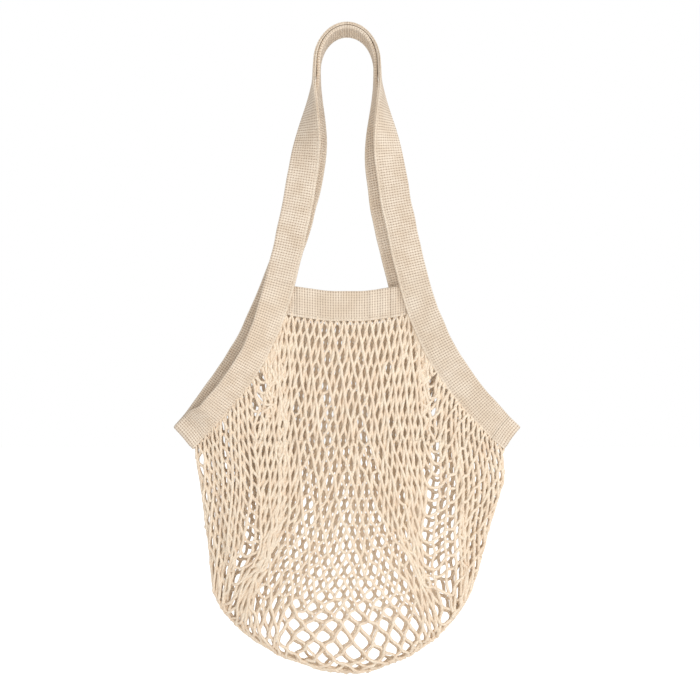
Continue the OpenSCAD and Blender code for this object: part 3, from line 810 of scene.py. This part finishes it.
def net_depth(x, z):
    """Half depth of the empty net at a place seen from the front."""
    w = np.maximum(net_half_w(z), 1e-4)
    full = RIM_DEPTH + (BELLY_DEPTH - RIM_DEPTH) * below(z, HINGE_Z, HINGE_Z - BELLY_Z)
    low = full * rounded((BELLY_Z - z) / BOTTOM_H, DEEPEN) * np.sqrt(np.maximum(1 - (x / w) ** 2, 0))
    low *= 1 - SIDE_THIN * hill(np.abs(x) / w, *SIDE_THIN_AT)
    high = BAND_DEPTH + (RIM_DEPTH - BAND_DEPTH) * below(z, NET_TOP, NET_TOP - HINGE_Z)
    f = beyond(z - HINGE_Z, *HINGE_STEP)
    return low * (1 - f) + high * f


class Net:
    """The net's crossings. It is cut as a rectangle and sewn at an even pitch all round the mouth: its first row
    to the front band and the upper front tapes, its sides down to the corners, and its last row at the back."""

    def __init__(self):
        m, k_end = NET_COLUMNS, NET_HALF_ROWS
        places = [(k, j) for k in range(k_end + 1) for j in range(m + 1 - k % 2)]
        self.index = {place: i for i, place in enumerate(places)}
        self.row = np.array([k for k, _ in places])
        column = [j + 0.5 * (k % 2) - m / 2 for k, j in places]
        self.face = np.sign(self.row - k_end / 2)
        self.pinned = np.array([k in (0, k_end) or (k % 2 == 0 and j in (0, m)) for k, j in places])
        self.pos = np.zeros((len(places), 3))
        loop, pitch = mouth_loop()
        depth_in = np.minimum(self.row, k_end - self.row)
        for (k, j), i in self.index.items():
            at = m / 2 + depth_in[i] / 2 if k % 2 == 0 and j in (0, m) else abs(column[i])
            p = np.array([np.interp(at * pitch, loop[0], loop[n]) for n in (1, 2, 3)])
            wide = abs(column[i]) / (m / 2)
            low = np.array([wide * CORNER_HALF_W, 0, np.interp(wide, START_WIDE, START_LOW)])
            q = p if self.pinned[i] else p + (low - p) * (depth_in[i] / (k_end / 2))
            depth = q[1] if self.pinned[i] else float(net_depth(q[0], q[2]))
            self.pos[i] = [np.copysign(q[0], column[i]), self.face[i] * depth, q[2]]
        self.bars = [bars_from(self.index, odd, way) for odd in (0, 1) for way in (0, 1)]
        rng = np.random.default_rng(NET_SEED)
        twin = rng.standard_normal((2, FOLD_ROW + 1, m + 1))  # the back is as the front
        uneven, apart = (np.array([t[min(k, k_end - k), j] for k, j in self.index]) for t in twin)
        uneven *= np.minimum(1, np.abs(self.row - k_end / 2) / EVEN_ROWS)
        self.rest = [BAR * (1 + BAR_UNEVEN * (uneven[b[:, 0]] + uneven[b[:, 1]])) for b in self.bars]
        self.beside = [pairs_in(self.index, 0, 1, lambda k, j: j % 2 == n) for n in (0, 1)]
        self.least = [KNOT_GAP * (1 + GAP_UNEVEN * apart[b[:, 0]]) for b in self.beside]
        self.below = [pairs_in(self.index, 2, 0, lambda k, j: k // 2 % 2 == n) for n in (0, 1)]


def mouth_loop():
    """The sewn line from the band's middle to the corner: its lengths, x, depth and z; and the net's pitch."""
    band, s, run = (np.linspace(*ends, count) for ends, count in zip(
        ((0, GRIPPED_HALF_W), (0, 1), (LOOP_FIRST, 1)), LOOP_POINTS))
    top = NET_TOP + NET_TUCK - BAND_SAG * (1 - (band / BAND_HALF_W) ** 2)
    edge = tape_frames(FRONT, RIGHT, 2 + s).point(-(TAPE_W / 2 - NET_TUCK), 0)
    edge = edge[edge[:, 2] < NET_TOP + NET_TUCK]
    corner = edge[-1] + np.array([CORNER_DIR[0], 0, CORNER_DIR[1]]) * ((CORNER_LEG + LOOP_PAST) * run[:, None])
    corner[-1, 1] = 0
    line = np.concatenate([np.stack([band, -BAND_DEPTH + 0 * band, top], -1)[:-1], edge, corner])
    line[:, 1] *= -1
    length = lengths_of(line[:, [0, 2]])
    return (length, *line.T), length[-1] / (NET_COLUMNS / 2 + NET_HALF_ROWS / 4)


def bars_from(index, odd, way):
    """Pairs of crossings joined by a string that slants one way from the even or the odd half rows."""
    return pairs_in(index, 1, 1 - way if odd else -way, lambda k, j: k % 2 == odd)


def pairs_in(index, rows, columns, chosen):
    """Pairs of crossings, some rows and columns apart."""
    return np.array([(i, index[k + rows, j + columns]) for (k, j), i in index.items()
                     if (k + rows, j + columns) in index and chosen(k, j)])


def open_share(points):
    """Share to which the meshes stand open at each crossing: all of it low in the middle of the panel."""
    x, _, z = points.T
    half = np.maximum(net_half_w(np.maximum(z, BOTTOM_Z + LEAST)), LEAST_HALF_W)
    return below(z, *OPEN) * (1 - beyond(np.abs(x) / half, *OPEN_SIDES))


def push(points):
    """Sideways push of the net's own stiffness, in units of its weight: in where the first row's corners hang,
    out in the middle of the panel, and out at the bottom, where the meshes open."""
    x, _, z = points.T
    wide, low = np.abs(x), below(z, *OPEN)
    outward = BOTTOM_PUSH * low - GATHER * hill(wide, *GATHER_AT) * (1 - low)
    panel = beyond(wide, *PANEL_IN) * below(wide, *PANEL_OUT) * below(z, *PANEL_LOW)
    return outward * x / PUSH_X + PANEL_PUSH * np.sign(x) * panel


def hang(net, steps):
    """Lets the net hang: strings pull and don't push, knots lie beside each other, and the fold at each side
    follows the bag's outline."""
    x, v = net.pos.copy(), np.zeros_like(net.pos)
    free = (~net.pinned).astype(float)
    fold = (np.abs(net.row - FOLD_ROW) <= 1) * free

    def pull(p, pairs, error, share=1):
        a, b = pairs.T
        d, w = p[b] - p[a], free[a] + free[b]
        length = np.linalg.norm(d, axis=1) + 1e-12
        c = d * (error(length) * share / length / np.maximum(w, 1) * (w > 0))[:, None]
        p[a] += c * free[a, None]
        p[b] -= c * free[b, None]

    for _ in range(steps):
        v *= DAMPING
        v[:, 2] -= GRAVITY
        v[:, 0] += GRAVITY * push(x)
        p = x + v * free[:, None]
        opened = open_share(p)
        for _ in range(ROUNDS):
            for pairs, rest in zip(net.bars, net.rest):
                pull(p, pairs, lambda length: np.maximum(length - rest, 0))
            for pairs, apart in zip(net.beside, net.least):
                pull(p, pairs, lambda length: np.minimum(length - apart, 0),
                     GAP_PUSH - GAP_EASE * opened[pairs[:, 0]])
            for pairs in net.below:
                most = MESH_LONG + (MESH_OPEN - MESH_LONG) * opened[pairs[:, 0]]
                pull(p, pairs, lambda length: (LONG_PULL * np.maximum(length - most, 0)
                                               + GAP_PUSH * np.minimum(length - KNOT_GAP, 0)))
        across, out, z = p.T
        wide, hung = np.abs(across), z < CORNER_Z - HUNG
        limit = np.where(hung, net_half_w(np.maximum(z, BOTTOM_Z + LEAST)), UNHUNG)
        across -= np.sign(across) * np.maximum(wide - limit, 0) * free * OUTLINE_PULL
        z += np.maximum(BOTTOM_Z - z, 0) * free * OUTLINE_PULL
        to_outline = np.sign(across) * (limit - np.abs(across))
        across += to_outline * fold * hung * FOLD_PULL * beyond(wide, *FOLD_SIDES)
        out += GUIDE * (net.face * net_depth(across, z) - out) * free
        v, x = p - x, p
    (size, wave, start), (small, short, tall) = ROW_WAVE, ROW_RIPPLE
    across, _, z = x.T
    sway = size * np.sin(across / wave + start) + small * np.sin(across / short + z / tall)
    z += sway * free * below(z, *ROW_WAVE_FROM) * (1 - open_share(x))
    net.pos = x


def draw_down(net):
    """Lays the fold at the bottom along the bag's outline, and the last rows of meshes close above it."""
    x, _, z = net.pos.T
    fold = net.pos[(net.row == FOLD_ROW) & (z < BELLY_Z - FOLD_LOW)]
    fold = fold[np.argsort(fold[:, 0])]
    bottom, above = net_bottom(x), np.interp(x, fold[:, 0], fold[:, 2] - net_bottom(fold[:, 0]))
    low = smooth(1 - (z - bottom) / DRAWN_H) * (z < BELLY_Z)
    high = np.maximum(z - above * low - bottom, 0)
    close = CLOSE_BOTTOM + (1 - CLOSE_BOTTOM) * beyond(high, *CLOSE_TO)
    z += (bottom + high * close - z) * (low > 0)


def shift_back(net):
    """Lays the back of the net as the front is, but hung half a mesh to the left, so that its knots show in
    the front's meshes, and as much wider and longer as it lies further off."""
    x, front = net.pos, net.pos.copy()
    for (k, j), i in net.index.items():
        if net.face[i] > 0:
            same, near = (front[net.index[NET_HALF_ROWS - k, n]] for n in (j, max(j - 1, 0)))
            here, there = same * [1, -1, 1], (same + near) / 2
            loose = not net.pinned[i]
            inside = 1 - beyond(abs(here[0]), *BACK_INSIDE)
            share = inside * (1 - BACK_LOW_LESS * below(here[2], *BACK_LOW))
            x[i] = here
            x[i, [0, 2]] += share * (there - here)[[0, 2]] * [1, loose]
            x[i, 0] -= float(back_shift(here[None])[0]) * (1 - inside)
            further = 2 * here[1] / VIEW_DISTANCE * inside * loose
            x[i, 0] += further * x[i, 0]
            x[i, 2] += further * (x[i, 2] - VIEW_CENTRE[1])


def strands(net):
    """Each string as the crossings that it runs through, and which way it slants."""
    for way in (0, 1):
        starts = [(0, j) for j in range(NET_COLUMNS + 1)]
        for k, j in starts + [(k, NET_COLUMNS * way) for k in range(2, NET_HALF_ROWS, 2)]:
            run = []
            while (k, j) in net.index:
                run.append(net.index[k, j])
                j += (1 - way) if k % 2 else -way
                k += 1
            if len(run) > 1:
                yield way, np.array(run)


def crossing_axes(net):
    """Direction in which two strings run side by side at each crossing: the longer way through its meshes."""
    def between(i, ends):
        first, last = ([net.pos[net.index[q]] for q in end if q in net.index] for end in ends)
        here = [net.pos[i]]
        return np.mean(last or here, axis=0) - np.mean(first or here, axis=0)

    found = np.zeros_like(net.pos)
    for (k, j), i in net.index.items():
        left, right = j - 1 + k % 2, j + k % 2
        down = between(i, (((k - 1, left), (k - 1, right)), ((k + 1, left), (k + 1, right))))
        along = between(i, (((k - 1, left), (k + 1, left)), ((k - 1, right), (k + 1, right))))
        found[i] = along if np.linalg.norm(along) > SQUARE * np.linalg.norm(down) else down
    return unit(found)


# A string's points: those of each knot and three between it and the next
BESIDE, OVER, ENTER_OVER, END_OVER = 0.18 * STRING_R, 0.75 * STRING_R, 0.75, 0.2  # the last two as shares
WITH_MESH, CURVE, TAUT, FOLD_FACE = 0.6, 0.9, 0.98, 0.3  # shares: its way at a knot, its curves, its slack
BOW, BOW_MOST, BOW_OUT, BOW_DOWN, JITTER = 0.16, 0.0012, 0.6, -0.35, 0.00009
BETWEEN = np.array([0.25, 0.5, 0.75])[:, None, None]
POINT_ROWS = np.array([0, 0.12, 0.3, 0.5, 0.7, 0.88])


def string_line(net, axes, way, run, rng):
    """Points of one string: through each crossing beside its neighbour, with slack bowed out between them."""
    p, axis, t = net.pos[run], axes[run], BETWEEN
    heading = unit(np.r_[p[1:], p[-1:]] - np.r_[p[:1], p[:-1]])
    axis = axis * np.where(np.sum(axis * heading, -1, keepdims=True) < 0, -1.0, 1.0)
    tangent = unit(WITH_MESH * axis + (1 - WITH_MESH) * heading)
    normal = np.stack([0 * p[:, 0], np.where(net.face[run] == 0, FOLD_FACE, net.face[run]), 0 * p[:, 0]], -1)
    normal = unit(normal - tangent * np.sum(normal * tangent, -1, keepdims=True) + 1e-6)
    lateral = np.cross(tangent, normal)
    lateral *= np.sign(np.sum(lateral * heading, -1, keepdims=True) + 1e-9)
    over = np.where((run + way) % 2 == 0, OVER, -OVER)[:, None]
    over = over * np.where(net.pinned[run], END_OVER, 1.0)[:, None]
    aside = KNOT_HALF * tangent + BESIDE * lateral
    middle, low = p + over * normal, p + ENTER_OVER * over * normal
    leave, enter = low + aside, low - aside
    a, b = leave[:-1], enter[1:]
    bend = CURVE * np.linalg.norm(b - a, axis=-1, keepdims=True)
    curve = ((2 * t ** 3 - 3 * t ** 2 + 1) * a + (t ** 3 - 2 * t ** 2 + t) * bend * tangent[:-1]
             + (-2 * t ** 3 + 3 * t ** 2) * b + (t ** 3 - t ** 2) * bend * tangent[1:])
    slack = np.sqrt(np.maximum((BAR * TAUT) ** 2 - np.sum((p[1:] - p[:-1]) ** 2, -1), 0))
    aim = rng.uniform(-1, 1, len(slack))[:, None] * lateral[:-1]
    aim = aim + rng.uniform(-BOW_OUT, BOW_OUT, len(slack))[:, None] * normal[:-1] + np.array([0, 0, BOW_DOWN])
    curve += np.sin(pi * t) * (np.minimum(BOW * slack, BOW_MOST)[:, None] * aim)[None]
    curve += rng.normal(0, JITTER, curve.shape)
    points = np.concatenate([middle[:-1, None], leave[:-1, None], np.moveaxis(curve, 0, 1), enter[1:, None]], 1)
    rows = net.row[run][:-1, None] + POINT_ROWS
    return np.concatenate([points.reshape(-1, 3), middle[-1:]]), np.r_[rows.ravel(), net.row[run[-1]]]


def tube_rings(points, radii):
    """Rings round a line, carried along it without twisting."""
    tangent = unit(np.r_[points[1:], points[-1:]] - np.r_[points[:1], points[:-1]])
    side = np.empty_like(points)
    side[0] = unit(np.cross(tangent[0], [0.0, 1.0, 0.0]))
    for i in range(1, len(points)):
        side[i] = unit(side[i - 1] - tangent[i] * side[i - 1].dot(tangent[i]))
    a = (np.arange(STRING_SIDES) * 2 * pi / STRING_SIDES)[None, :, None]
    round_ = np.cos(a) * side[:, None, :] + np.sin(a) * np.cross(tangent, side)[:, None, :]
    return points[:, None, :] + radii[:, None, None] * round_


NET_W, NET_H = 0.66, {True: 0.14, False: 0.20}  # flat size of the whole net's width and of each piece's height
NET_PIECES = (("front_net_upper", FRONT, True), ("front_net_lower", FRONT, False),
              ("back_net_lower", BACK, False), ("back_net_upper", BACK, True))


def piece_of(points, rows):
    """Which of the four net pieces each point of a string belongs to."""
    upper = points[:, 2] > HINGE_Z
    return np.where(rows < FOLD_ROW, np.where(upper, 0, 1), np.where(upper, 3, 2))


def net_strings(net):
    """The strings of each of the four pieces, and their length."""
    axes, rng = crossing_axes(net), np.random.default_rng(STRING_SEED)
    pieces, lengths = [Tubes() for _ in NET_PIECES], [0.0 for _ in NET_PIECES]
    for number, (way, run) in enumerate(strands(net)):
        line, rows = string_line(net, axes, way, run, rng)
        wave = STRING_WAVE * np.sin(np.arange(len(line)) * STRING_WAVES + number)
        radii = STRING_R * (1 + wave + rng.normal(0, STRING_UNEVEN, len(line)))
        radii *= 1 + BACK_THICKER * (rows > FOLD_ROW)
        radii[:len(GRIP)] *= GRIP
        radii[-len(GRIP):] *= GRIP[::-1]
        rings, length, belongs = tube_rings(line, radii), lengths_of(line), piece_of(line, rows)
        cuts = np.flatnonzero(np.diff(belongs)) + 1
        for first, last in zip(np.r_[0, cuts], np.r_[cuts, len(line) - 1]):
            if last > first:
                faces, u_at, v_at = tube_faces(last - first + 1, STRING_SIDES)
                uv = np.stack([u_at / STRING_SIDES, number + length[first:last + 1][v_at]], -1)
                pieces[belongs[first]].add(rings[first:last + 1].reshape(-1, 3), faces, uv,
                                           np.zeros((2, STRING_SIDES, 2)) + number)
                lengths[belongs[first]] += length[last] - length[first]
    return zip(NET_PIECES, pieces, lengths)


def net_objects():
    net = Net()
    hang(net, HANG_STEPS)
    draw_down(net)
    shift_back(net)
    for (node, face, upper), strings, length in net_strings(net):
        obj = strings.mesh(f"{node}_strings", "net", shifted=False)
        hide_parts(node)
        if upper:
            bend_at_rim(obj, face)
        else:
            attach(obj, "bag")
        above = f"{FACE_NAME[face]}_band_tape" if upper else node.replace("lower", "upper") + "_strings"
        NET_H[upper]
        length * pi * STRING_R


# ---- studio ----
FLOOR_DROP, FLOOR_HALF = 0.10, 3  # the floor lies this far below the hanging bag
SHELL = 0.93  # what the floor looks like to light
FLOOR_LIFT = 0.66  # makes the floor white to the camera and leaves the bag's shadow on it
AMBIENT, AMBIENT_COLOUR = 0.66, (1.0, 0.985, 0.975, 1)
LAMP_SIZE, SENSOR = 0.9, 36
LAMPS = {"key": ((1.30, -0.98, 0.55), (0, 0, -0.32), 9.4, (1.0, 0.985, 0.96)),  # place, aim, power, colour
         "fill": ((0.1, -1.15, -0.66), (0, 0, -0.25), 8.0, (1.0, 0.99, 0.98))}


def floor():
    """A pale floor that is white to the camera."""
    half, z = FLOOR_HALF, CAD_BOX[0][2] - FLOOR_DROP
    n = Nodes(bpy.data.materials.new("pale_floor"))
    diffuse = n.add("BsdfDiffuse", {"Color": (SHELL, SHELL, SHELL, 1)})
    seen = n.times(n.add("LightPath").outputs["Is Camera Ray"], FLOOR_LIFT)
    white = n.add("Emission", {"Color": (1, 1, 1, 1), "Strength": seen})
    both = n.add("AddShader", {0: diffuse.outputs[0], 1: white.outputs[0]})
    n.add("OutputMaterial", {0: both.outputs[0]})
    points = np.array([(-half, -half, z), (half, -half, z), (half, half, z), (-half, half, z)])
    mesh_object("floor", points, [np.array([[0, 1, 2, 3]])], n.owner)


def world():
    """A world that is white to the camera and gives a plain soft light."""
    SCENE.world = bpy.data.worlds.new("studio")
    n = Nodes(SCENE.world)
    path = n.add("LightPath").outputs
    seen = n.math("MAXIMUM", path["Is Camera Ray"], path["Is Glossy Ray"])
    soft = n.add("Background", {0: AMBIENT_COLOUR, 1: AMBIENT})
    white = n.add("Background", {0: (1, 1, 1, 1), 1: 1.0})
    mixed = n.add("MixShader", {0: seen, 1: soft.outputs[0], 2: white.outputs[0]})
    n.add("OutputWorld", {0: mixed.outputs[0]})


def placed(data, place, turn=(0, 0, 0)):
    obj = bpy.data.objects.new(data.name, data)
    obj.location, obj.rotation_euler = place, turn
    SCENE.collection.objects.link(obj)
    return obj


def lamp(name, place, aim, power, colour):
    data = bpy.data.lights.new(name, "AREA")
    data.shape, data.size, data.energy, data.color = "SQUARE", LAMP_SIZE, power, colour
    placed(data, place, (Vector(aim) - Vector(place)).to_track_quat("-Z", "Y").to_euler())


def camera():
    data = bpy.data.cameras.new("camera")
    data.sensor_width, data.lens = SENSOR, SENSOR * VIEW_DISTANCE / VIEW_WIDTH
    data.clip_start, data.clip_end = 0.01, 50
    place = VIEW_CENTRE[0], -VIEW_DISTANCE, VIEW_CENTRE[1]
    SCENE.camera = placed(data, place, (pi / 2, 0, 0))


def main():
    SCENE.view_settings.view_transform = "Standard"
    camera()
    floor()
    world()
    for name, values in LAMPS.items():
        lamp(name, *values)
    for face in (FRONT, BACK):
        for side in (LEFT, RIGHT):
            handle_and_binding(face, side)
        mouth_band(face)
        side_sewing(face)
        band_sewing(face)
        band_tacks(face)
        handle_joins(face)
    for side in (LEFT, RIGHT):
        corner_fold(side)
    corner_sewing()
    net_objects()


main()
